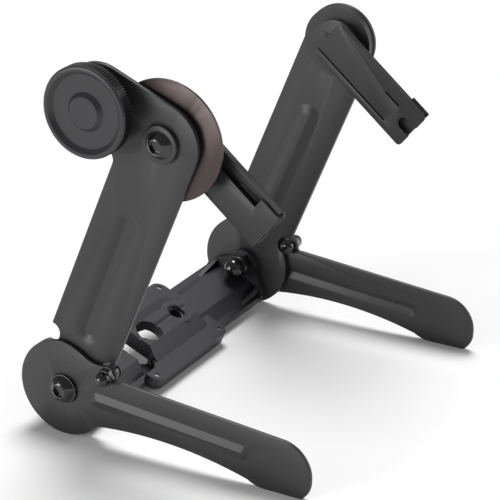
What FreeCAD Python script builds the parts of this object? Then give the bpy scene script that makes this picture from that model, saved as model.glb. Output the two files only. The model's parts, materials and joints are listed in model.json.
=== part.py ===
import FreeCAD, Part
import math
import os

# Foldable two-arm cradle for a star tracker. +X runs from the knob's side to the plain side, -Y
# is forward, where the legs point, and +Z is up. The parts are built about the line of the two
# lower pivots, with the middle plane at X = 0, and are then moved so that the origin is at the
# bottom centre of the whole object's box. All sizes are in millimetres.

Vec = FreeCAD.Vector

# ---- driving dimensions -------------------------------------------------------------------
HALF_WIDTH = 64.45          # middle plane to the outer face of each leg
LEG_T = 1.5                 # thickness of the leg sheet
SPACER_T = 0.45             # friction washer between leg and upright
UPRIGHT_T = 1.8             # thickness of the upright sheet
ROUND_FOOT_R = 17.6         # round end of legs and uprights, which stands on the ground
PLATE_HALF = 13.5           # half the width of an upright
LEAN = 22.8                 # forward lean of the uprights from vertical, degrees
TILT_HEIGHT = 103.6         # lower pivot to tilt axis, along the upright
FLAG_BACK = 25.0            # tilt axis to the middle of the flag's round end
KNOB_BACK = 24.8            # tilt axis to knob axis, square to the upright
KNOB_BELOW = 0.6            # tilt axis to knob axis, along the upright

LEG_DROOP = 4.9             # the opened leg points this far below forward, degrees
LEG_TOP = 9.4               # leg axis to its straight upper edge
LEG_TIP = 96.2              # lower pivot to the toe, along the leg axis
STOP_R = 20.3               # orbit of the stop screw about the lower pivot
STOP_FROM_UPRIGHT = 40.7    # stop screw to the upright's centre line with the leg opened, degrees
SLEEVE_R = 2.4              # sleeve on the stop screw, which passes just outside the round foot

DISC_R = 20.5               # tilt disc
PUCK_R = 13.1               # puck between the right upright and its hub
HUB_R = 9.0
ROLLER_CLEARANCE = 0.15     # the roller's groove stays this far from the disc's rim
HOLDER_DROP = 40.3          # direction of the holders below forward, degrees

# Depths are measured inwards from the outer face of the leg.
LEG_IN = LEG_T
UPRIGHT_OUT = LEG_IN + SPACER_T
UPRIGHT_IN = UPRIGHT_OUT + UPRIGHT_T
DISC_OUT = 5.0
DISC_IN = 6.0
PUCK_IN = UPRIGHT_IN + 3.1
HOLDER_OUT = 9.8
HOLDER_IN = 13.4
HOLDER_WALL = 1.0

BOLT_R = 2.5                # M5 pivot and tilt bolts
BOLT_HEAD_R = 4.75
BOLT_HEAD_H = 2.75
BOLT_SOCKET = 4.0
PIVOT_NUT_H = 10.0
STOP_BOLT_R = 1.5           # M3 stop screws
STOP_HEAD_R = 2.75
STOP_HEAD_H = 1.65
STOP_SOCKET = 2.0
STOP_NUT_H = 5.8
STOP_SEAT = UPRIGHT_IN + 0.3  # inner end of the sleeve, clear of the upright's inner face
NOTCH_CENTRE = (12.7, 15.6)   # stop notch, square to the upright and along it
NOTCH_R = 3.5
RUN_GAP = 0.05              # radial clearance of a running fit
PIVOT_WASHER_R = 5.4
PIVOT_WASHER_T = 1.0
TILT_WASHER_R = 6.45
TILT_WASHER_T = 1.6

# ---- holder outline, along and across from the tilt axis, for a holder that points forward ---
HOLDER_REAR = -3.0
HOLDER_END = 43.0
HOLDER_MIDDLE = 1.75
HOLDER_HALF = 8.0
HOLDER_LOW = HOLDER_MIDDLE - HOLDER_HALF
HOLDER_HIGH = HOLDER_MIDDLE + HOLDER_HALF
LEFT_OUTER_HIGH = HOLDER_LOW + 11.2     # top of the outer plate, and of its tab
LEFT_TAB_HIGH = HOLDER_LOW + 15.0
RIGHT_OUTER_HIGH = HOLDER_LOW + 15.4
RIGHT_TAB_HIGH = HOLDER_LOW + 16.4
TAB_START = 34.3
TAB_END = 42.5
LIP_WIDTH = 2.5
SLIT = 0.55

# ---- knob drive ----------------------------------------------------------------------------
KNOB_R = 15.5
KNOB_OUT = -7.3             # depth of the knob's outer face
KNOB_IN = -2.0
DISH_R = 13.8
DISH_FLOOR_R = 12.4
DISH_DEPTH = 1.2
BOSS_R = 5.3
BOSS_FOOT_R = 6.6
KNOB_BUSH_R = 3.5
SHAFT_R = 2.0
SHAFT_START = -5.0
SHAFT_END = 9.4
CLIP_OUT = 8.3
CLIP_IN = 8.8
ROLLER_R = math.hypot(KNOB_BACK, KNOB_BELOW) - DISC_R - ROLLER_CLEARANCE

EXTRA = 1.0                 # how far cutting tools run past a face

# ---- base bar, in the frame that leans with the uprights ---------------------------------
BAR_HALF = 13.0             # half width of the bar
DECK_TOP = -9.0             # top of the flat deck, along the upright from the pivot axis
DECK_T = 2.5
SPINE_TOP = -5.0            # low ridge along the bar
SPINE_HALF = 5.3
SPINE_FOOT = 10.0
BLOCK_TOP = -2.0            # raised tripod block
BLOCK_HALF = 4.8            # half width of the block's flat top
BLOCK_WALL = 4.0
BLOCK_FOOT = 10.6           # where the block's slopes meet the wings
BLOCK_END_FOOT = -7.8       # lower edge of the block's end wall, along the window
BLOCK_LEFT = -15.5          # ends of the block, from the middle plane
BLOCK_RIGHT = 16.5
BLOCK_RAMP = 2.9
WING_TOP = -6.0
WING_T = 3.3
WING_HALF_X = 25.0
WING_HALF_N = 17.1
WING_CORNER_R = 4.0
TRIPOD_X = 10.6
TRIPOD_R = 3.175            # 1/4 inch thread, major radius
TRIPOD_BOSS_R = 5.8
TRIPOD_DEPTH = 7.3
BORE_X = -8.4
BORE_R = 5.2
WINDOW_LEFT = -22.3
WINDOW_HALF = 10.5
WINDOW_CORNER_R = 5.0
WING_GAP_HALF = 11.4        # the wings stop this far from the middle, left of the block
CORNER_SCREW_X = 22.0
CORNER_SCREW_N = 14.2
CORNER_SCREW_R = 1.0
CORNER_SCREW_HEAD_R = 1.8
CORNER_SCREW_HEAD_H = 0.7
CORNER_SCREW_SINK = 0.4     # the screws' ends stop this far below the wings' top
LUG_T = 3.0                 # end walls of the bar, which the pivot bolts pass through
LUG_R = 5.2
GUSSET_N = 10.2
GUSSET_T = 1.4
GUSSET_TOP = -5.0
GUSSET_RUN = 10.6
COVER_T = 1.2               # cover plate under the wings
COVER_GAP = 0.3
COVER_WINDOW_HALF_X = 19.0
COVER_WINDOW_HALF_N = 6.7
COVER_WINDOW_CORNER_R = 5.0
CEILING = WING_TOP - WING_T           # underside of the wings
COVER_TOP = CEILING - COVER_GAP
COVER_BOTTOM = COVER_TOP - COVER_T


# ---- small helpers -------------------------------------------------------------------------
def pt(x, forward, up):
    """Point from forward and up distances; forward is -Y."""
    return Vec(x, -forward, up)


def polar(radius, angle):
    return (radius * math.cos(math.radians(angle)), radius * math.sin(math.radians(angle)))


def prism(outline, x0, x1):
    """Closed outline of (forward, up) corners, with arcs as ("arc", middle, end), extruded from
    x0 to x1."""
    edges = []
    here = outline[0]
    for item in list(outline[1:]) + [outline[0]]:
        if item[0] == "arc":
            edges.append(Part.Arc(pt(x0, *here), pt(x0, *item[1]), pt(x0, *item[2])).toShape())
            here = item[2]
        elif math.dist(here, item) > 1e-6:
            edges.append(Part.LineSegment(pt(x0, *here), pt(x0, *item)).toShape())
            here = item
    return Part.Face(Part.Wire(edges)).extrude(Vec(x1 - x0, 0, 0))


def rod(centre, radius, x0, x1):
    """Cylinder along X about a (forward, up) centre."""
    return Part.makeCylinder(radius, x1 - x0, pt(x0, *centre), Vec(1, 0, 0))


def ring(centre, outer, inner, x0, x1):
    return rod(centre, outer, x0, x1).cut(rod(centre, inner, x0 - EXTRA, x1 + EXTRA))


def hexagon(centre, across_flats, x0, x1):
    corners = []
    for i in range(6):
        a = polar(across_flats / math.sqrt(3.0), 60.0 * i)
        corners.append((centre[0] + a[0], centre[1] + a[1]))
    return prism(corners, x0, x1)


def stadium(start, end, radius, x):
    """Outline at x of everything within radius of the line from start to end."""
    length = math.dist(start, end)
    ux = (end[0] - start[0]) / length * radius
    uy = (end[1] - start[1]) / length * radius
    a = (start[0] - uy, start[1] + ux)
    b = (end[0] - uy, end[1] + ux)
    c = (end[0] + uy, end[1] - ux)
    d = (start[0] + uy, start[1] - ux)
    return Part.Wire([
        Part.LineSegment(pt(x, *a), pt(x, *b)).toShape(),
        Part.Arc(pt(x, *b), pt(x, end[0] + ux, end[1] + uy), pt(x, *c)).toShape(),
        Part.LineSegment(pt(x, *c), pt(x, *d)).toShape(),
        Part.Arc(pt(x, *d), pt(x, start[0] - ux, start[1] - uy), pt(x, *a)).toShape()])


def pressed_rib(plate, start, end, x_back, x_face, foot_r, top_r, height):
    """Press a rib with sloping flanks out of a plate: it stands proud of x_face, and leaves a hollow of
    the same shape in x_back."""
    way = height if x_face > x_back else -height
    proud = Part.makeLoft([stadium(start, end, foot_r, x_face),
                           stadium(start, end, top_r, x_face + way)], True, True)
    hollow = Part.makeLoft([stadium(start, end, foot_r, x_back),
                            stadium(start, end, top_r, x_back + way)], True, True)
    return plate.fuse(proud).cut(hollow)


def mirror(shape):
    """The same piece for the right-hand side."""
    return shape.mirror(Vec(0, 0, 0), Vec(1, 0, 0))


def both_sides(left):
    return Part.makeCompound([left, mirror(left)])


def left_x(depth):
    """X of a plane this deep inside the left leg's outer face."""
    return depth - HALF_WIDTH


def turn(shape, centre, angle):
    """Turn a piece about an X axis; a positive angle lowers what points forward."""
    out = shape.copy()
    out.rotate(pt(0, *centre), Vec(1, 0, 0), angle)
    return out


def lean(shape):
    """Lean a piece that was built for a vertical upright."""
    return turn(shape, PIVOT_AXIS, LEAN)


def lean_point(square, along):
    """(forward, up) place of a point given square to the upright and along it."""
    a = math.radians(LEAN)
    return (square * math.cos(a) + along * math.sin(a), along * math.cos(a) - square * math.sin(a))


PIVOT_AXIS = (0, 0)
TILT_AXIS = lean_point(0, TILT_HEIGHT)
KNOB_AXIS = lean_point(-KNOB_BACK, TILT_HEIGHT - KNOB_BELOW)
STOP_AXIS = polar(STOP_R, 90.0 - LEAN - STOP_FROM_UPRIGHT)


# ---- hardware ------------------------------------------------------------------------------
def button_bolt(centre, radius, head_r, head_h, x_seat, length, socket):
    """Button-head bolt: the head seats at x_seat and stands towards -X, the shank runs to +X."""
    top = x_seat - head_h
    dome_r = (head_r ** 2 + head_h ** 2) / (2 * head_h) * 1.04
    dome = Part.makeSphere(dome_r, pt(top + dome_r, *centre))
    head = rod(centre, head_r, top, x_seat).common(dome)
    head = head.cut(hexagon(centre, socket, top - EXTRA, top + head_h * 0.6))
    return head.fuse(rod(centre, radius, x_seat - 0.2, x_seat + length)).removeSplitter()


def acorn_nut(centre, across_flats, bore_r, x_seat, hex_h, total, way):
    """Domed nut seated at x_seat, whose dome points along way (+1 or -1) in X."""
    dome_r = across_flats * 0.47
    straight = total - dome_r

    def span(depth):
        return sorted([x_seat, x_seat + way * depth])
    chamfer = Part.makeCone(across_flats * 0.64, across_flats * 0.52, hex_h,
                            pt(x_seat, *centre), Vec(way, 0, 0))
    body = hexagon(centre, across_flats, *span(hex_h)).common(chamfer)
    dome = Part.makeSphere(dome_r, pt(x_seat + way * straight, *centre))
    body = body.fuse([rod(centre, dome_r, *span(straight)), dome])
    return body.cut(rod(centre, bore_r, *span(straight))).removeSplitter()


# ---- legs ----------------------------------------------------------------------------------
def leg_point(along, across):
    """(forward, up) place of a point on the opened leg."""
    a = math.radians(LEG_DROOP)
    return (along * math.cos(a) + across * math.sin(a), across * math.cos(a) - along * math.sin(a))


def leg_outline():
    """Round foot, then an S-shaped shoulder down to the ear of the stop screw, the blade's
    straight top, its rounded toe with a flat on the ground, and its hollow underside."""
    ground = -ROUND_FOOT_R
    heel = leg_point(14.2, -10.5)
    heel_angle = math.degrees(math.atan2(heel[1], heel[0]))
    heel = polar(ROUND_FOOT_R, heel_angle)
    back = polar(ROUND_FOOT_R, (heel_angle - 270.0) / 2.0)
    ear_x = STOP_AXIS[0]
    ear_z = STOP_AXIS[1]
    return [
        (0, ROUND_FOOT_R),
        ("arc", (4.6, 16.3), (8.6, 14.1)),
        ("arc", (12.4, ear_z + 3.3), (ear_x - 0.9, ear_z + 3.2)),
        ("arc", (ear_x + 2.7, ear_z + 1.9), (ear_x + 3.3, ear_z - 0.5)),
        ("arc", (ear_x + 3.6, ear_z - 1.3), leg_point(22.4, LEG_TOP)),
        leg_point(85.5, LEG_TOP),
        ("arc", leg_point(93.5, 5.2), leg_point(LEG_TIP, -2.5)),
        ("arc", leg_point(95.3, -7.2), (92.1, ground)),
        (78.5, ground),
        ("arc", (75.6, ground + 0.35), leg_point(73.0, -9.5)),
        ("arc", leg_point(44.0, -7.0), heel),
        ("arc", back, (0, ROUND_FOOT_R))]


def left_leg():
    x0 = left_x(0)
    x1 = left_x(LEG_IN)
    leg = prism(leg_outline(), x0, x1)
    leg = pressed_rib(leg, leg_point(13.8, -0.2), leg_point(70.4, -0.2), x1, x0, 2.75, 0.25, 1.1)
    leg = leg.cut(rod(PIVOT_AXIS, BOLT_R + RUN_GAP, x0 - EXTRA, x1 + EXTRA))
    return leg.cut(rod(STOP_AXIS, STOP_BOLT_R, x0 - EXTRA, x1 + EXTRA)).removeSplitter()


def left_stop_sleeve():
    """Sleeve on the stop screw, which seats in the upright's notches."""
    return ring(STOP_AXIS, SLEEVE_R, STOP_BOLT_R, left_x(LEG_IN), left_x(STOP_SEAT))


def left_stop_screw():
    """Screw whose head is on the inner side, through the sleeve and the leg's ear."""
    reach = STOP_SEAT + 3.0
    return mirror(button_bolt(STOP_AXIS, STOP_BOLT_R, STOP_HEAD_R, STOP_HEAD_H,
                              -left_x(STOP_SEAT), reach, STOP_SOCKET))


def left_stop_nut():
    return acorn_nut(STOP_AXIS, 5.5, STOP_BOLT_R, left_x(0), 2.4, STOP_NUT_H, -1)


# ---- uprights, built vertical and then leaned ------------------------------------------------
def cut_stop_notches(plate, x0, x1):
    """Notch on each edge that seats the stop sleeve at either end of the leg's swing, and a lip
    cut back so that the sleeve can leave it along its orbit."""
    swing = ring(PIVOT_AXIS, STOP_R + SLEEVE_R + 0.4, ROUND_FOOT_R, x0 - EXTRA, x1 + EXTRA)
    for side in (-1, 1):
        centre = (side * NOTCH_CENTRE[0], NOTCH_CENTRE[1])
        plate = plate.cut(rod(centre, NOTCH_R, x0 - EXTRA, x1 + EXTRA))
        near = polar(60.0, math.degrees(math.atan2(NOTCH_CENTRE[1], NOTCH_CENTRE[0])))
        wedge = prism([PIVOT_AXIS, (side * near[0], near[1]), (side * 60.0, 0)], x0 - EXTRA, x1 + EXTRA)
        plate = plate.cut(swing.common(wedge))
    return plate


def finish_upright(plate, x0, x1):
    plate = cut_stop_notches(plate, x0, x1)
    plate = pressed_rib(plate, (-0.2, 24.5), (-0.2, 69.5), x0, x1, 4.6, 1.7, 1.2)
    plate = plate.cut(rod(PIVOT_AXIS, BOLT_R, x0 - EXTRA, x1 + EXTRA))
    return plate.cut(rod((0, TILT_HEIGHT), BOLT_R + RUN_GAP, x0 - EXTRA, x1 + EXTRA))


def upright_blank(x0, x1):
    """Straight plate up to the tilt axis, with its round foot."""
    plate = prism([(-PLATE_HALF, 0), (PLATE_HALF, 0), (PLATE_HALF, TILT_HEIGHT),
                   (-PLATE_HALF, TILT_HEIGHT)], x0, x1)
    return plate.fuse(rod(PIVOT_AXIS, ROUND_FOOT_R, x0, x1))


def left_upright():
    """Upright with a flag-shaped head that reaches back to carry the knob."""
    x0 = left_x(UPRIGHT_OUT)
    x1 = left_x(UPRIGHT_IN)
    top = TILT_HEIGHT + PLATE_HALF
    under = TILT_HEIGHT - PLATE_HALF
    corner_r = 3.0
    plate = upright_blank(x0, x1)
    flag = prism([(-FLAG_BACK, under), (0, under), (0, top), (-FLAG_BACK, top)], x0, x1)
    plate = plate.fuse([flag, rod((0, TILT_HEIGHT), PLATE_HALF, x0, x1),
                        rod((-FLAG_BACK, TILT_HEIGHT), PLATE_HALF, x0, x1)])
    bend = (-PLATE_HALF - corner_r, under - corner_r)
    corner = prism([(bend[0], under), (-PLATE_HALF, under), (-PLATE_HALF, bend[1]), bend], x0, x1)
    plate = plate.fuse(corner.cut(rod(bend, corner_r, x0 - EXTRA, x1 + EXTRA)))
    plate = finish_upright(plate, x0, x1)
    bush = (-KNOB_BACK, TILT_HEIGHT - KNOB_BELOW)
    plate = plate.cut(rod(bush, KNOB_BUSH_R, x0 - EXTRA, x1 + EXTRA))
    return lean(plate.removeSplitter())


def right_upright():
    """Plain upright with a round head."""
    x0 = left_x(UPRIGHT_OUT)
    x1 = left_x(UPRIGHT_IN)
    plate = upright_blank(x0, x1).fuse(rod((0, TILT_HEIGHT), PLATE_HALF, x0, x1))
    return mirror(lean(finish_upright(plate, x0, x1).removeSplitter()))


# ---- base bar --------------------------------------------------------------------------------
def upward_edges(solid):
    return [e for e in solid.Edges if abs(e.tangentAt(e.FirstParameter).z) > 0.99]


def rounded_slab(half_x, half_n, corner_r, low, high):
    slab = Part.makeBox(2 * half_x, 2 * half_n, high - low, Vec(-half_x, -half_n, low))
    return slab.makeFillet(corner_r, upward_edges(slab))


def ridge(half_top, top, half_foot, foot, x0, x1):
    return prism([(-half_foot, foot), (-half_top, top), (half_top, top), (half_foot, foot)], x0, x1)


def deck():
    low = DECK_TOP - DECK_T
    x_end = left_x(UPRIGHT_IN)
    bevel = 0.8
    return prism([(-BAR_HALF + bevel, low), (-BAR_HALF, low + bevel), (-BAR_HALF, DECK_TOP - bevel),
                  (-BAR_HALF + bevel, DECK_TOP), (BAR_HALF - bevel, DECK_TOP),
                  (BAR_HALF, DECK_TOP - bevel), (BAR_HALF, low + bevel), (BAR_HALF - bevel, low)],
                 x_end, -x_end)


def tripod_block():
    """Raised block whose right end ramps down to the bar's ridge."""
    block = ridge(BLOCK_HALF, BLOCK_TOP, BLOCK_FOOT, WING_TOP - 0.2, BLOCK_LEFT - 0.5,
                  BLOCK_RIGHT + BLOCK_RAMP)
    over = BLOCK_RAMP + EXTRA
    corners = [Vec(BLOCK_RIGHT, 0, BLOCK_TOP), Vec(BLOCK_RIGHT + over, 0, BLOCK_TOP),
               Vec(BLOCK_RIGHT + over, 0, BLOCK_TOP - over * (BLOCK_TOP - SPINE_TOP) / BLOCK_RAMP)]
    ramp = Part.Face(Part.makePolygon(corners + [corners[0]])).extrude(Vec(0, 2 * BAR_HALF, 0))
    ramp.translate(Vec(0, -BAR_HALF, 0))
    return block.cut(ramp)


def block_hollow():
    """Space under the block, open downwards, around the boss of the tripod thread."""
    inner_half = BLOCK_FOOT - 2.6
    hollow = ridge(BLOCK_HALF - 1.6, BLOCK_TOP - BLOCK_WALL, inner_half, CEILING - EXTRA,
                   BLOCK_LEFT + 1.6, BLOCK_RIGHT - 0.4)
    return hollow.cut(Part.makeCylinder(TRIPOD_BOSS_R, 20, Vec(TRIPOD_X, 0, -20)))


def end_wall():
    """Wall at the bar's left end, with a round lug about the pivot bolt."""
    x0 = left_x(UPRIGHT_IN)
    low = DECK_TOP - DECK_T
    outline = [(-BAR_HALF + 0.8, low), (-BAR_HALF, low + 0.8), (-BAR_HALF, DECK_TOP),
               (-GUSSET_N - GUSSET_T / 2, GUSSET_TOP), (-LUG_R, 0), (LUG_R, 0),
               (GUSSET_N + GUSSET_T / 2, GUSSET_TOP), (BAR_HALF, DECK_TOP), (BAR_HALF, low + 0.8),
               (BAR_HALF - 0.8, low)]
    return prism(outline, x0, x0 + LUG_T).fuse(rod(PIVOT_AXIS, LUG_R, x0, x0 + LUG_T))


def end_gusset(side):
    """Sloping rib that braces the left end wall to the deck."""
    x0 = left_x(UPRIGHT_IN + LUG_T)
    y0 = side * GUSSET_N - GUSSET_T / 2
    corners = [Vec(x0 - 0.5, y0, DECK_TOP - 0.5), Vec(x0 + GUSSET_RUN, y0, DECK_TOP - 0.5),
               Vec(x0 + GUSSET_RUN, y0, DECK_TOP), Vec(x0, y0, GUSSET_TOP),
               Vec(x0 - 0.5, y0, GUSSET_TOP)]
    return Part.Face(Part.makePolygon(corners + [corners[0]])).extrude(Vec(0, GUSSET_T, 0))


def beside_block(left, half_n, low):
    """Cutting tool left of the block, whose corners on the block's side are rounded."""
    tool = Part.makeBox(BLOCK_LEFT - left, 2 * half_n, EXTRA - low, Vec(left, -half_n, low))
    near_block = [e for e in upward_edges(tool) if e.Vertexes[0].X > left + EXTRA]
    return tool.makeFillet(WINDOW_CORNER_R, near_block)


def block_end_relief():
    """Relief that raises the lower edge of the block's end wall."""
    low = CEILING - EXTRA
    return Part.makeBox(1.8, 2 * BLOCK_HALF + 5.0, BLOCK_END_FOOT - low,
                        Vec(BLOCK_LEFT - 0.1, -BLOCK_HALF - 2.5, low))


def corner_places():
    return [(i * CORNER_SCREW_X, j * CORNER_SCREW_N) for i in (-1, 1) for j in (-1, 1)]


def base_bar():
    """One moulded piece: deck, ridge, tripod block, wings, end walls and gussets."""
    x_end = left_x(UPRIGHT_IN)
    spine = ridge(SPINE_HALF, SPINE_TOP, SPINE_FOOT, DECK_TOP - 0.2, x_end + 0.5, -x_end - 0.5)
    wings = rounded_slab(WING_HALF_X, WING_HALF_N, WING_CORNER_R, CEILING, WING_TOP)
    wings = wings.cut(beside_block(-WING_HALF_X - EXTRA, WING_GAP_HALF, DECK_TOP))
    bar = deck().fuse([spine, wings, tripod_block(), end_wall(), mirror(end_wall())])
    gussets = [end_gusset(-1), end_gusset(1)]
    bar = bar.fuse(gussets + [mirror(g) for g in gussets])
    bar = bar.cut(rounded_slab(WING_HALF_X + 0.4, WING_HALF_N + 0.4, WING_CORNER_R, CEILING - 20, CEILING))
    boss = Part.makeCylinder(TRIPOD_BOSS_R, TRIPOD_DEPTH, Vec(TRIPOD_X, 0, BLOCK_TOP - TRIPOD_DEPTH))
    bar = bar.cut([block_hollow(), block_end_relief()]).fuse(boss)
    bar = bar.cut(beside_block(WINDOW_LEFT, WINDOW_HALF, -20))
    bar = bar.cut(Part.makeCylinder(TRIPOD_R, 30, Vec(TRIPOD_X, 0, -20)))
    mouth = Part.makeCone(TRIPOD_R, TRIPOD_R + 0.5, 0.5, Vec(TRIPOD_X, 0, BLOCK_TOP - 0.5))
    bar = bar.cut(mouth).cut(Part.makeCylinder(BORE_R, 30, Vec(BORE_X, 0, -20)))
    for x, y in corner_places():
        bar = bar.cut(Part.makeCylinder(CORNER_SCREW_R, 20, Vec(x, y, -15)))
    bar = bar.cut(rod(PIVOT_AXIS, BOLT_R, x_end - EXTRA, -x_end + EXTRA))
    return lean(bar.removeSplitter())


def base_cover():
    """Thin plate under the wings, with one long window."""
    cover = rounded_slab(WING_HALF_X, WING_HALF_N, WING_CORNER_R, COVER_BOTTOM, COVER_TOP)
    cover = cover.cut(rounded_slab(COVER_WINDOW_HALF_X, COVER_WINDOW_HALF_N, COVER_WINDOW_CORNER_R,
                                   COVER_BOTTOM - EXTRA, COVER_TOP + EXTRA))
    for x, y in corner_places():
        cover = cover.cut(Part.makeCylinder(CORNER_SCREW_R, 20, Vec(x, y, -20)))
    return lean(cover)


def base_corner_screws():
    """Four screws driven from below, whose ends show down the wings' holes."""
    screws = []
    low = COVER_BOTTOM - CORNER_SCREW_HEAD_H
    length = WING_TOP - CORNER_SCREW_SINK - COVER_BOTTOM
    for x, y in corner_places():
        shank = Part.makeCylinder(CORNER_SCREW_R, length, Vec(x, y, COVER_BOTTOM))
        head = Part.makeCylinder(CORNER_SCREW_HEAD_R, CORNER_SCREW_HEAD_H, Vec(x, y, low))
        slot = Part.makeBox(4.0, 0.5, CORNER_SCREW_HEAD_H / 2, Vec(x - 2.0, y - 0.25, low))
        screws.append(lean(head.fuse(shank).cut(slot).removeSplitter()))
    return Part.makeCompound(screws)


# ---- lower pivot hardware --------------------------------------------------------------------
def pivot_bolt():
    seat = -PIVOT_WASHER_T
    length = UPRIGHT_IN + LUG_T + 5.5 - seat
    return button_bolt(PIVOT_AXIS, BOLT_R, BOLT_HEAD_R, BOLT_HEAD_H, left_x(seat), length, BOLT_SOCKET)


def pivot_washer():
    return ring(PIVOT_AXIS, PIVOT_WASHER_R, BOLT_R, left_x(-PIVOT_WASHER_T), left_x(0))


def friction_washer():
    return ring(PIVOT_AXIS, 9.0, BOLT_R, left_x(LEG_IN), left_x(UPRIGHT_OUT))


def pivot_nut():
    return acorn_nut(PIVOT_AXIS, 8.0, BOLT_R, left_x(UPRIGHT_IN + LUG_T), 4.0, PIVOT_NUT_H, 1)


# ---- tilt heads ------------------------------------------------------------------------------
def tilt_washer():
    return ring(TILT_AXIS, TILT_WASHER_R, BOLT_R, left_x(UPRIGHT_OUT - TILT_WASHER_T),
                left_x(UPRIGHT_OUT))


def tilt_bolt():
    """Bolt that screws into the holder's hub and turns with it in the upright."""
    seat = UPRIGHT_OUT - TILT_WASHER_T
    length = HOLDER_OUT + HOLDER_WALL - seat
    return button_bolt(TILT_AXIS, BOLT_R, BOLT_HEAD_R, BOLT_HEAD_H, left_x(seat), length, BOLT_SOCKET)


def disc_spacer():
    return ring(TILT_AXIS, 8.0, BOLT_R, left_x(UPRIGHT_IN), left_x(DISC_OUT))


def tilt_disc():
    """Thin disc whose rim runs in the drive roller's groove."""
    return ring(TILT_AXIS, DISC_R, BOLT_R, left_x(DISC_OUT), left_x(DISC_IN))


def hub(depth):
    """Round hub between the disc or puck and the holder's outer plate."""
    return ring(TILT_AXIS, HUB_R, BOLT_R, left_x(depth), left_x(HOLDER_OUT))


def hub_puck():
    return ring(TILT_AXIS, PUCK_R, BOLT_R, left_x(UPRIGHT_IN), left_x(PUCK_IN))


def holder(outer_high, tab_high):
    """Channel for the left side: an inner plate, and an outer plate with a tab at its free end,
    joined by a web along the bottom. The inner plate has two slits, a lip along its top and a U
    notch in its free end."""
    def strip(x0, x1, a0, a1, b0, b1):
        return prism([(a0, b0), (a1, b0), (a1, b1), (a0, b1)], x0, x1)
    x0 = left_x(HOLDER_OUT)
    x1 = left_x(HOLDER_OUT + HOLDER_WALL)
    x2 = left_x(HOLDER_IN - HOLDER_WALL)
    x3 = left_x(HOLDER_IN)
    inner = strip(x2, x3, HOLDER_REAR, HOLDER_END, HOLDER_LOW, HOLDER_HIGH)
    rounded = [e for e in inner.Edges if abs(e.tangentAt(e.FirstParameter).x) > 0.99]
    inner = inner.makeFillet(1.5, rounded)
    lip = strip(x3 - LIP_WIDTH, x3, HOLDER_REAR + 1.5, HOLDER_END - 1.5, HOLDER_HIGH - HOLDER_WALL,
                HOLDER_HIGH)
    web = strip(x0, x3, HOLDER_REAR + 1.5, HOLDER_END - 1.5, HOLDER_LOW, HOLDER_LOW + HOLDER_WALL)
    outer = strip(x0, x1, HOLDER_REAR, TAB_END, HOLDER_LOW, outer_high)
    tab = strip(x0, x1, TAB_START, TAB_END, HOLDER_LOW, tab_high)
    boss = rod(PIVOT_AXIS, 4.0, x0, x2 + 0.2)
    body = inner.fuse([lip, web, outer, tab, boss])
    long_slit = HOLDER_LOW + 2.6
    short_slit = HOLDER_LOW + 11.1
    body = body.cut(strip(x2 - 0.1, x3 + EXTRA, HOLDER_REAR - 1, 32.5, long_slit, long_slit + SLIT))
    body = body.cut(strip(x2 - 0.1, x3 + EXTRA, 26.0, 33.0, short_slit, short_slit + SLIT))
    notch_r = 2.3
    notch_end = HOLDER_END - 6.7 + notch_r
    body = body.cut(rod((notch_end, HOLDER_MIDDLE), notch_r, x2 - 0.1, x3 + EXTRA))
    body = body.cut(strip(x2 - 0.1, x3 + EXTRA, notch_end, HOLDER_END + EXTRA,
                          HOLDER_MIDDLE - notch_r, HOLDER_MIDDLE + notch_r))
    body = body.cut(rod(PIVOT_AXIS, BOLT_R, x0 - EXTRA, x1))
    body = turn(body.removeSplitter(), PIVOT_AXIS, HOLDER_DROP)
    body.translate(pt(0, *TILT_AXIS))
    return body


# ---- knob drive ------------------------------------------------------------------------------
def knob_cone(radius0, depth0, radius1, depth1):
    return Part.makeCone(radius0, radius1, depth1 - depth0, pt(left_x(depth0), *KNOB_AXIS), Vec(1, 0, 0))


def knob():
    """Knob with a chamfered rim, a dished face and a raised centre."""
    x1 = left_x(KNOB_IN)
    chamfer = 0.6
    body = rod(KNOB_AXIS, KNOB_R, left_x(KNOB_OUT + chamfer), x1)
    body = body.fuse(knob_cone(KNOB_R - chamfer, KNOB_OUT, KNOB_R, KNOB_OUT + chamfer))
    dish = knob_cone(DISH_R, KNOB_OUT, DISH_FLOOR_R, KNOB_OUT + DISH_DEPTH)
    boss = knob_cone(BOSS_R, KNOB_OUT, BOSS_FOOT_R, KNOB_OUT + DISH_DEPTH)
    body = body.cut(dish.cut(boss))
    return body.cut(rod(KNOB_AXIS, SHAFT_R, left_x(SHAFT_START), x1 + EXTRA)).removeSplitter()


def knob_shaft():
    """Shaft pressed into the knob and the roller, with a groove for the clip."""
    shaft = rod(KNOB_AXIS, SHAFT_R, left_x(SHAFT_START), left_x(SHAFT_END))
    return shaft.cut(ring(KNOB_AXIS, SHAFT_R + 1, SHAFT_R - 0.4, left_x(CLIP_OUT), left_x(CLIP_IN)))


def knob_bushing():
    """Flanged bush that the shaft turns in, pressed into the flag."""
    body = rod(KNOB_AXIS, 5.0, left_x(KNOB_IN + 0.1), left_x(UPRIGHT_OUT))
    body = body.fuse(rod(KNOB_AXIS, KNOB_BUSH_R, left_x(KNOB_IN + 0.1), left_x(UPRIGHT_IN)))
    bore = rod(KNOB_AXIS, SHAFT_R + RUN_GAP, left_x(KNOB_IN - EXTRA), left_x(UPRIGHT_IN + EXTRA))
    return body.cut(bore).removeSplitter()


def drive_roller():
    """Grooved roller whose two cheeks straddle the tilt disc's rim."""
    side_gap = 0.25
    start = left_x(DISC_OUT - side_gap)
    end = left_x(DISC_IN + side_gap)
    roller = rod(KNOB_AXIS, ROLLER_R, left_x(UPRIGHT_IN), left_x(CLIP_OUT))
    roller = roller.fuse([rod(KNOB_AXIS, 6.0, start - 0.9, start), rod(KNOB_AXIS, 6.0, end, end + 0.7)])
    return roller.cut(rod(KNOB_AXIS, SHAFT_R, left_x(0), left_x(12))).removeSplitter()


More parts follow.
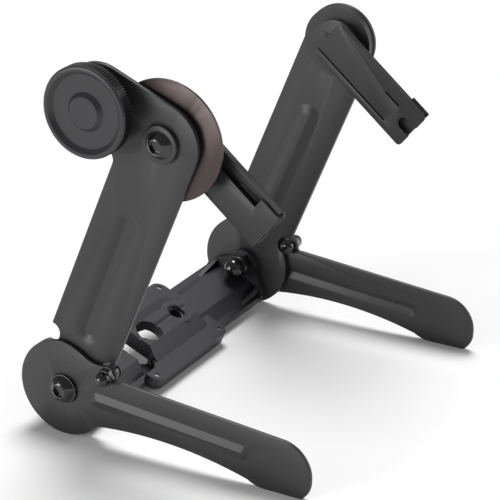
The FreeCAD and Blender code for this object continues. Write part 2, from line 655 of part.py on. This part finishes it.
def shaft_clip():
    """Open retaining ring in the shaft's groove."""
    clip = ring(KNOB_AXIS, 3.6, SHAFT_R - 0.4, left_x(CLIP_OUT), left_x(CLIP_IN))
    mouth = Part.makeBox(4.0, 1.8, 6.0, pt(left_x(7), KNOB_AXIS[0] + 0.9, KNOB_AXIS[1] - 6.0))
    return clip.cut(mouth)


# ---- assembly --------------------------------------------------------------------------------
def build():
    left = {
        "leg": left_leg(),
        "stop_sleeve": left_stop_sleeve(),
        "stop_screw": left_stop_screw(),
        "stop_nut": left_stop_nut(),
        "tilt_bolt": tilt_bolt(),
        "tilt_washer": tilt_washer(),
    }
    nodes = {}
    for name, shape in left.items():
        nodes["left_" + name] = shape
        nodes["right_" + name] = mirror(shape)
    nodes["left_holder"] = holder(LEFT_OUTER_HIGH, LEFT_TAB_HIGH)
    nodes["right_holder"] = mirror(holder(RIGHT_OUTER_HIGH, RIGHT_TAB_HIGH))
    nodes["left_upright"] = left_upright()
    nodes["right_upright"] = right_upright()
    nodes["base_bar"] = base_bar()
    nodes["base_cover"] = base_cover()
    nodes["base_corner_screws"] = base_corner_screws()
    nodes["pivot_bolts"] = both_sides(pivot_bolt())
    nodes["pivot_washers"] = both_sides(pivot_washer())
    nodes["pivot_nuts"] = both_sides(pivot_nut())
    nodes["friction_washers"] = both_sides(friction_washer())
    nodes["left_disc_spacer"] = disc_spacer()
    nodes["left_tilt_disc"] = tilt_disc()
    nodes["left_hub"] = hub(DISC_IN)
    nodes["right_hub_puck"] = mirror(hub_puck())
    nodes["right_hub"] = mirror(hub(PUCK_IN))
    nodes["knob"] = knob()
    nodes["knob_shaft"] = knob_shaft()
    nodes["knob_bushing"] = knob_bushing()
    nodes["drive_roller"] = drive_roller()
    nodes["shaft_clip"] = shaft_clip()
    return nodes


def whole_box(shapes):
    box = FreeCAD.BoundBox()
    for shape in shapes:
        box.add(shape.optimalBoundingBox(False))
    return box


def main():
    os.makedirs("parts", exist_ok=True)
    nodes = build()
    box = whole_box(nodes.values())
    shift = Vec(-box.Center.x, -box.Center.y, -box.ZMin)
    for name, shape in sorted(nodes.items()):
        shape.translate(shift)
        state = "valid" if shape.isValid() else "INVALID"
        print(name, state, len(shape.Solids), "solids", round(shape.Volume, 1), "mm3")
        shape.exportStep("parts/%s.step" % name)
    print("size", [round(v, 3) for v in (box.XLength, box.YLength, box.ZLength)])
    print("shift", [round(v, 4) for v in shift])
    for label, axis in (("pivot", PIVOT_AXIS), ("tilt", TILT_AXIS), ("knob", KNOB_AXIS), ("stop", STOP_AXIS)):
        print(label, "axis, y and z:", round(shift.y - axis[0], 4), round(shift.z + axis[1], 4))


main()
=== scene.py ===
import json
import math

import bmesh
import bpy
from mathutils import Matrix, Vector


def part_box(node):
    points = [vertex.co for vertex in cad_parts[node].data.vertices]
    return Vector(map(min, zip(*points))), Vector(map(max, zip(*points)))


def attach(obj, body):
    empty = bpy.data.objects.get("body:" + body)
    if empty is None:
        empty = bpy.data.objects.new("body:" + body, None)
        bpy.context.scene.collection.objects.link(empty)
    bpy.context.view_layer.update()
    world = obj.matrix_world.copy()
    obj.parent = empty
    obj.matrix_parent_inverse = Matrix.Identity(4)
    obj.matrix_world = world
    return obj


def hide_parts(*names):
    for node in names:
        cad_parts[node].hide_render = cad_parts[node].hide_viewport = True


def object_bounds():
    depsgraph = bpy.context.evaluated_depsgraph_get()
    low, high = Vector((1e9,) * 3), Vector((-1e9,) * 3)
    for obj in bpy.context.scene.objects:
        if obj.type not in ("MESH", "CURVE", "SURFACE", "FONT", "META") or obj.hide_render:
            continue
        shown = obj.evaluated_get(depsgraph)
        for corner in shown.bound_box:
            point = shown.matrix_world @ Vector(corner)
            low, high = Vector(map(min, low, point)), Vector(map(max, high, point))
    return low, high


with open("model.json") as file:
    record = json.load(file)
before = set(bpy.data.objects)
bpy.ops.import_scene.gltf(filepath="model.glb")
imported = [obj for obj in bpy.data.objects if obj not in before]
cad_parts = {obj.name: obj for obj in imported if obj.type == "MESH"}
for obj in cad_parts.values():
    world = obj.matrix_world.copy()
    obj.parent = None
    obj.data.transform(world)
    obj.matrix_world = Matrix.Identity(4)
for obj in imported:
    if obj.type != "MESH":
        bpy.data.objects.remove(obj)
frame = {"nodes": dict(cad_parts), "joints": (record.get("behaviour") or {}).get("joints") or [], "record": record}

# Folding cradle for a star tracker: satin charcoal sheet metal, gloss black fasteners, a textured
# moulded bar and a knurled knob. Everything is in metres, in the CAD model's own frame: X along
# the pivot axes, -Y forward, Z up.

MM = 0.001
CAD_BOX = [list(corner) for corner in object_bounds()]
BODY_OF = {}
for body_name, members in frame["record"]["behaviour"]["bodies"].items():
    for member in members:
        BODY_OF[member] = body_name
SLOT_OF = {entry["node"]: entry["material_slot"] for entry in frame["record"]["subparts"]}
JOINT_AT = {joint["name"]: Vector(joint["pos_m"]) for joint in frame["joints"]}
TILT = JOINT_AT["left_tilt"]
KNOB = JOINT_AT["knob_turn"]


# ---- materials ------------------------------------------------------------------------------
class Nodes:
    """A material's node tree, with short calls for the few node kinds used here."""

    def __init__(self, name):
        self.material = bpy.data.materials.new(name)
        self.material.use_nodes = True
        self.tree = self.material.node_tree
        self.shader = self.tree.nodes["Principled BSDF"]
        self.coords = self.tree.nodes.new("ShaderNodeTexCoord").outputs["Object"]

    def link(self, source, socket):
        self.tree.links.new(source, socket)

    def noise(self, scale, detail=3.0, roughness=0.55):
        node = self.tree.nodes.new("ShaderNodeTexNoise")
        node.inputs["Scale"].default_value = scale
        node.inputs["Detail"].default_value = detail
        node.inputs["Roughness"].default_value = roughness
        self.link(self.coords, node.inputs["Vector"])
        return node.outputs["Fac"]

    def ramp(self, source, stops):
        node = self.tree.nodes.new("ShaderNodeValToRGB")
        for element, (position, colour) in zip(node.color_ramp.elements, stops):
            element.position = position
            element.color = (*colour, 1.0)
        self.link(source, node.inputs["Fac"])
        return node.outputs["Color"]

    def spread(self, source, low, high):
        node = self.tree.nodes.new("ShaderNodeMapRange")
        node.inputs["To Min"].default_value = low
        node.inputs["To Max"].default_value = high
        self.link(source, node.inputs["Value"])
        return node.outputs["Result"]

    def bump(self, height, distance, strength, below=None):
        node = self.tree.nodes.new("ShaderNodeBump")
        node.inputs["Distance"].default_value = distance
        node.inputs["Strength"].default_value = strength
        self.link(height, node.inputs["Height"])
        if below is not None:
            self.link(below, node.inputs["Normal"])
        return node.outputs["Normal"]

    def set(self, **values):
        for name, value in values.items():
            self.shader.inputs[name.replace("_", " ")].default_value = value


def tint(colour, factor):
    """The colour made lighter or darker by a factor."""
    return tuple(c * factor for c in colour)


def coated(name, colour, rough, grain, grain_depth, mottle):
    """Coated or moulded surface: slow colour drift, and a fine grain in bump and roughness over
    a coarser orange peel."""
    n = Nodes(name)
    drift = n.noise(55.0, 2.0)
    n.link(n.ramp(drift, [(0.3, tint(colour, 1.0 - mottle)), (0.7, tint(colour, 1.0 + mottle))]),
           n.shader.inputs["Base Color"])
    fine = n.noise(grain, 4.0, 0.6)
    n.link(n.spread(fine, rough - 0.06, rough + 0.06), n.shader.inputs["Roughness"])
    orange_peel = n.bump(n.noise(grain * 0.25, 2.0), grain_depth * 1.5, 0.5)
    n.link(n.bump(fine, grain_depth, 0.8, orange_peel), n.shader.inputs["Normal"])
    return n.material


def gloss_black(name):
    """Gloss black finish on steel screws."""
    n = Nodes(name)
    smudge = n.noise(400.0, 3.0)
    n.link(n.ramp(smudge, [(0.35, (0.004, 0.004, 0.004)), (0.75, (0.009, 0.009, 0.009))]),
           n.shader.inputs["Base Color"])
    n.link(n.spread(smudge, 0.12, 0.2), n.shader.inputs["Roughness"])
    n.link(n.bump(n.noise(900.0, 2.0), 0.00001, 0.4), n.shader.inputs["Normal"])
    n.set(Coat_Weight=0.5, Coat_Roughness=0.06)
    return n.material


def turned_metal(name, colour, rough):
    """Bare turned metal with a slight stain and a very fine grain."""
    n = Nodes(name)
    drift = n.noise(300.0, 2.0)
    n.link(n.ramp(drift, [(0.3, tint(colour, 0.85)), (0.7, tint(colour, 1.1))]),
           n.shader.inputs["Base Color"])
    n.link(n.spread(drift, rough - 0.05, rough + 0.08), n.shader.inputs["Roughness"])
    n.link(n.bump(n.noise(2500.0, 2.0), 0.00001, 0.5), n.shader.inputs["Normal"])
    n.set(Metallic=1.0)
    return n.material


def tilt_disc_brown():
    """Turned, dark brown anodised disc: rings about its axis, and a sheen that fans out."""
    n = Nodes("tilt_disc_brown")
    offset = n.tree.nodes.new("ShaderNodeVectorMath")
    offset.operation = "SUBTRACT"
    offset.inputs[1].default_value = TILT
    n.link(n.coords, offset.inputs[0])
    distance = n.tree.nodes.new("ShaderNodeVectorMath")
    distance.operation = "LENGTH"
    n.link(offset.outputs["Vector"], distance.inputs[0])
    rings = n.tree.nodes.new("ShaderNodeTexNoise")
    rings.noise_dimensions = "1D"
    rings.inputs["Scale"].default_value = 9000.0
    rings.inputs["Detail"].default_value = 2.0
    n.link(distance.outputs["Value"], rings.inputs["W"])
    grooves = rings.outputs["Fac"]
    n.link(n.ramp(grooves, [(0.3, (0.078, 0.061, 0.058)), (0.7, (0.088, 0.069, 0.066))]),
           n.shader.inputs["Base Color"])
    n.link(n.spread(grooves, 0.34, 0.42), n.shader.inputs["Roughness"])
    n.link(n.bump(grooves, 0.000006, 0.4), n.shader.inputs["Normal"])
    tangent = n.tree.nodes.new("ShaderNodeTangent")
    tangent.direction_type = "RADIAL"
    tangent.axis = "X"
    n.link(tangent.outputs["Tangent"], n.shader.inputs["Tangent"])
    n.set(Metallic=0.8, Anisotropic=0.5)
    return n.material


def soft_rubber():
    """Matt rubber of the drive roller."""
    n = Nodes("roller_rubber")
    fine = n.noise(2200.0, 3.0)
    n.link(n.ramp(fine, [(0.3, (0.018, 0.018, 0.018)), (0.7, (0.034, 0.033, 0.033))]),
           n.shader.inputs["Base Color"])
    n.link(n.spread(fine, 0.70, 0.85), n.shader.inputs["Roughness"])
    n.link(n.bump(fine, 0.00003, 0.6), n.shader.inputs["Normal"])
    return n.material


def make_materials():
    """One material for each slot of the record."""
    # slot: colour, roughness, grain scale, grain depth in metres, colour drift
    coats = {
        "leg_coat": ((0.026, 0.024, 0.026), 0.42, 2600.0, 0.000018, 0.04),
        "holder_coat": ((0.022, 0.0205, 0.022), 0.42, 2600.0, 0.000018, 0.04),
        "moulded_black": ((0.020, 0.0195, 0.0235), 0.48, 1700.0, 0.00006, 0.08),
        "knob_black": ((0.024, 0.023, 0.026), 0.36, 2400.0, 0.000012, 0.04),
        "hub_black": ((0.026, 0.025, 0.026), 0.42, 2400.0, 0.000015, 0.04),
        "slip_nylon": ((0.030, 0.030, 0.030), 0.5, 1500.0, 0.00001, 0.05),
    }
    materials = {slot: coated(slot, *values) for slot, values in coats.items()}
    materials["black_screws"] = gloss_black("black_screws")
    materials["bush_brass"] = turned_metal("bush_brass", (0.55, 0.40, 0.18), 0.3)
    materials["bare_steel"] = turned_metal("bare_steel", (0.60, 0.60, 0.61), 0.28)
    materials["disc_brown"] = tilt_disc_brown()
    materials["roller_rubber"] = soft_rubber()
    return materials


MATERIALS = make_materials()


def paint(obj, slot):
    """Give an object one material."""
    obj.data.materials.clear()
    obj.data.materials.append(MATERIALS[slot])


# ---- pieces ---------------------------------------------------------------------------------
def place(piece, node):
    """A finished piece rides on its node's body, takes its slot and stands for the node."""
    bpy.context.scene.collection.objects.link(piece)
    paint(piece, SLOT_OF[node])
    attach(piece, BODY_OF[node])
    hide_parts(node)
    return piece


def add_bevel(piece, width, crease_width):
    """Round the sharp edges by width and the shallow outer creases, such as a pressed rib's
    crest, by crease_width. Any other crease is shaded sharp. The bevel scales its width by each
    edge's weight."""
    mesh = piece.data
    weights = mesh.attributes.new("bevel_weight_edge", "FLOAT", "EDGE")
    sharp = mesh.attributes.new("sharp_edge", "BOOLEAN", "EDGE")
    sharp_from = math.radians(38.0)
    crease_from = math.radians(14.0)
    widest = max(width, crease_width)
    shape = bmesh.new()
    shape.from_mesh(mesh)
    values = []
    creases = []
    for edge in shape.edges:
        angle = edge.calc_face_angle(0.0)
        share = 0.0
        if angle > sharp_from:
            share = width / widest
        elif angle > crease_from and edge.is_convex:
            share = crease_width / widest
        values.append(share)
        creases.append(angle > crease_from and share == 0.0)
    shape.free()
    weights.data.foreach_set("value", values)
    sharp.data.foreach_set("value", creases)
    bevel = piece.modifiers.new("bevel", "BEVEL")
    bevel.limit_method = "WEIGHT"
    bevel.width = widest
    bevel.segments = 2
    bevel.use_clamp_overlap = False
    bevel.miter_outer = "MITER_ARC"
    bevel.harden_normals = True


def rounded_copy(node, width, crease_width=0.0):
    """Copy of a CAD node with its flat faces made whole and its edges rounded."""
    weld = 0.002 * MM
    flat = math.radians(0.6)
    shape = bmesh.new()
    shape.from_mesh(frame["nodes"][node].data)
    bmesh.ops.remove_doubles(shape, verts=shape.verts, dist=weld)
    bmesh.ops.dissolve_limit(shape, angle_limit=flat, verts=shape.verts, edges=shape.edges)
    mesh = bpy.data.meshes.new(node + "_rounded")
    shape.to_mesh(mesh)
    shape.free()
    for polygon in mesh.polygons:
        polygon.use_smooth = True
    piece = bpy.data.objects.new(node + "_rounded", mesh)
    add_bevel(piece, width, crease_width)
    return place(piece, node)


def lathe(name, rows, count, axis):
    """Mesh turned about an X axis through a point. Each row is (x, radius) or (x, radii), where
    radii repeat round the circle; the first and last rows close on the axis."""
    verts = []
    for x, radii in rows:
        radii = radii if isinstance(radii, tuple) else (radii,)
        for i in range(count):
            a = 2 * math.pi * i / count
            r = radii[i % len(radii)]
            verts.append((x, axis.y + r * math.cos(a), axis.z + r * math.sin(a)))
    faces = []
    for k in range(len(rows) - 1):
        for i in range(count):
            j = (i + 1) % count
            faces.append((k * count + i, (k + 1) * count + i, (k + 1) * count + j, k * count + j))
    first = len(verts)
    verts.append((rows[0][0], axis.y, axis.z))
    verts.append((rows[-1][0], axis.y, axis.z))
    last_row = (len(rows) - 1) * count
    for i in range(count):
        j = (i + 1) % count
        faces.append((first, i, j))
        faces.append((first + 1, last_row + j, last_row + i))
    mesh = bpy.data.meshes.new(name)
    mesh.from_pydata(verts, [], faces)
    mesh.validate()
    mesh.update()
    return mesh


def knurled_knob():
    """Knob with a smooth rim band, a straight axial knurl behind it, a dished face and a boss."""
    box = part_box("knob")
    front = box[0][0]
    back = box[1][0]
    outer = (box[1][1] - box[0][1]) / 2
    teeth = 100
    knurl_depth = 0.62 * MM
    dish_depth = 1.5 * MM
    ease = 0.08 * MM                     # small chamfers along the dish's edges
    groove = outer - knurl_depth
    knurl = (outer, outer, groove, groove)
    floor = front + dish_depth
    boss = [(front, 5.25 * MM), (front + ease, 5.36 * MM), (floor - ease, 6.5 * MM)]
    dish = [(floor, 6.6 * MM), (floor, 12.35 * MM), (floor - ease, 12.45 * MM),
            (front + ease, 13.75 * MM), (front, 13.85 * MM)]
    rim = [(front, outer - 0.75 * MM), (front + 0.12 * MM, outer - 0.45 * MM),
           (front + 0.40 * MM, outer - 0.12 * MM), (front + 0.62 * MM, outer),
           (front + 0.85 * MM, outer)]
    grip = [(front + 0.95 * MM, knurl), (back - 0.35 * MM, knurl)]
    rear = [(back - 0.05 * MM, outer - 0.65 * MM), (back, outer - 0.9 * MM), (back, 5.5 * MM)]
    mesh = lathe("knob_knurled", boss + dish + rim + grip + rear, 4 * teeth, KNOB)
    for polygon in mesh.polygons:
        polygon.use_smooth = True
    mesh.set_sharp_from_angle(angle=math.radians(24.0))
    return place(bpy.data.objects.new("knob_knurled", mesh), "knob")


def thread_turns():
    """Internal thread of the tripod hole: one ridge wound along the hole's wall."""
    hole = next(mount for mount in frame["record"]["mounts"] if mount["name"] == "tripod_thread")
    inward = -Vector(hole["axis"])
    length = hole["dims"]["length_mm"] * MM
    foot = Vector(hole["pos_m"]) - inward * (length / 2)
    wall = (hole["dims"]["r_mm"] + 0.02) * MM
    crest = wall - 0.65 * MM
    pitch = 1.27 * MM
    margin = 0.4                         # turns left free at each end of the hole
    per_turn = 48
    steps = int(per_turn * (length / pitch - 2 * margin))
    across = Vector((1, 0, 0))
    other = inward.cross(across)
    verts = []
    faces = []
    for i in range(steps + 1):
        a = 2 * math.pi * i / per_turn
        out = across * math.cos(a) + other * math.sin(a)
        height = pitch * (i / per_turn + margin)
        for radius, lift in ((wall, -0.34), (crest, -0.05), (crest, 0.05), (wall, 0.34)):
            verts.append(foot + out * radius + inward * (height + lift * pitch))
        for k in range(3 if i else 0):
            faces.append((4 * i - 4 + k, 4 * i + k, 4 * i + k + 1, 4 * i - 3 + k))
    mesh = bpy.data.meshes.new("thread_turns")
    mesh.from_pydata(verts, [], faces)
    mesh.validate()
    mesh.update()
    ridge = bpy.data.objects.new("thread_turns", mesh)
    bpy.context.scene.collection.objects.link(ridge)
    paint(ridge, SLOT_OF["base_bar"])
    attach(ridge, BODY_OF["base_bar"])


# ---- scene ----------------------------------------------------------------------------------
def studio():
    """Pale floor and soft light."""
    half = 4.0
    corners = [(-half, -half, 0), (half, -half, 0), (half, half, 0), (-half, half, 0)]
    floor_mesh = bpy.data.meshes.new("studio_floor")
    floor_mesh.from_pydata(corners, [], [(0, 1, 2, 3)])
    floor = bpy.data.objects.new("studio_floor", floor_mesh)
    bpy.context.scene.collection.objects.link(floor)
    n = Nodes("studio_floor")
    n.link(n.ramp(n.noise(3.0), [(0.0, (0.90, 0.90, 0.90)), (1.0, (0.93, 0.93, 0.93))]),
           n.shader.inputs["Base Color"])
    n.set(Roughness=0.9)
    floor.data.materials.append(n.material)

    world = bpy.data.worlds.new("studio_world")
    world.use_nodes = True
    sky = world.node_tree.nodes["Background"]
    sky.inputs["Color"].default_value = (1.0, 1.0, 1.0, 1.0)
    sky.inputs["Strength"].default_value = 0.25
    bpy.context.scene.world = world
    bpy.context.scene.view_settings.view_transform = "Standard"

    softness = math.radians(32.0)        # the suns are wide discs, so their shadows are soft
    # name, direction towards the light, strength
    suns = (("key_light", (-0.85, 0.50, 0.17), 1.7),
            ("top_light", (0.35, 0.15, 0.92), 2.6),
            ("side_light", (0.70, -0.65, 0.25), 0.5))
    for name, towards, strength in suns:
        light = bpy.data.lights.new(name, "SUN")
        light.energy = strength
        light.angle = softness
        lamp = bpy.data.objects.new(name, light)
        lamp.rotation_euler = Vector(towards).to_track_quat("Z", "Y").to_euler()
        lamp.location = Vector(towards)
        bpy.context.scene.collection.objects.link(lamp)


def camera():
    """Camera at the reference view: long lens, from the knob's side, front left and above."""
    azimuth = math.radians(-60.28)
    elevation = math.radians(23.34)
    roll = math.radians(-0.16)
    distance = 0.726
    aim_left = 0.0007                    # the photo's centre from the middle of the CAD box
    aim_down = 0.0146
    right = Vector((math.cos(azimuth), math.sin(azimuth), 0))
    back = Vector((math.sin(azimuth) * math.cos(elevation),
                   -math.cos(azimuth) * math.cos(elevation), math.sin(elevation)))
    up = back.cross(right)
    low, high = (Vector(corner) for corner in CAD_BOX)
    target = (low + high) / 2 - right * aim_left - up * aim_down
    data = bpy.data.cameras.new("camera")
    data.lens = 150.2
    data.sensor_width = 36.0
    data.clip_start = 0.01
    view = bpy.data.objects.new("camera", data)
    turn = Matrix((right, up, back)).transposed().to_4x4()
    spot = Matrix.Translation(target + back * distance)
    view.matrix_world = spot @ turn @ Matrix.Rotation(roll, 4, "Z")
    bpy.context.scene.collection.objects.link(view)
    bpy.context.scene.camera = view


# Every CAD node gets its material; the copies below then stand for some of the nodes.
for node_name, node_object in frame["nodes"].items():
    paint(node_object, SLOT_OF[node_name])
for side in ("left", "right"):
    rounded_copy(side + "_leg", 0.28 * MM, 0.3 * MM)
    rounded_copy(side + "_upright", 0.28 * MM, 0.9 * MM)
    rounded_copy(side + "_holder", 0.12 * MM)
    rounded_copy(side + "_tilt_washer", 0.3 * MM)
    rounded_copy(side + "_tilt_bolt", 0.12 * MM)
    rounded_copy(side + "_stop_screw", 0.08 * MM)
    rounded_copy(side + "_stop_nut", 0.12 * MM)
    rounded_copy(side + "_hub", 0.2 * MM)
rounded_copy("base_cover", 0.15 * MM)
rounded_copy("pivot_bolts", 0.12 * MM)
rounded_copy("pivot_nuts", 0.15 * MM)
rounded_copy("pivot_washers", 0.2 * MM)
rounded_copy("left_tilt_disc", 0.12 * MM)
knurled_knob()
thread_turns()
studio()
camera()
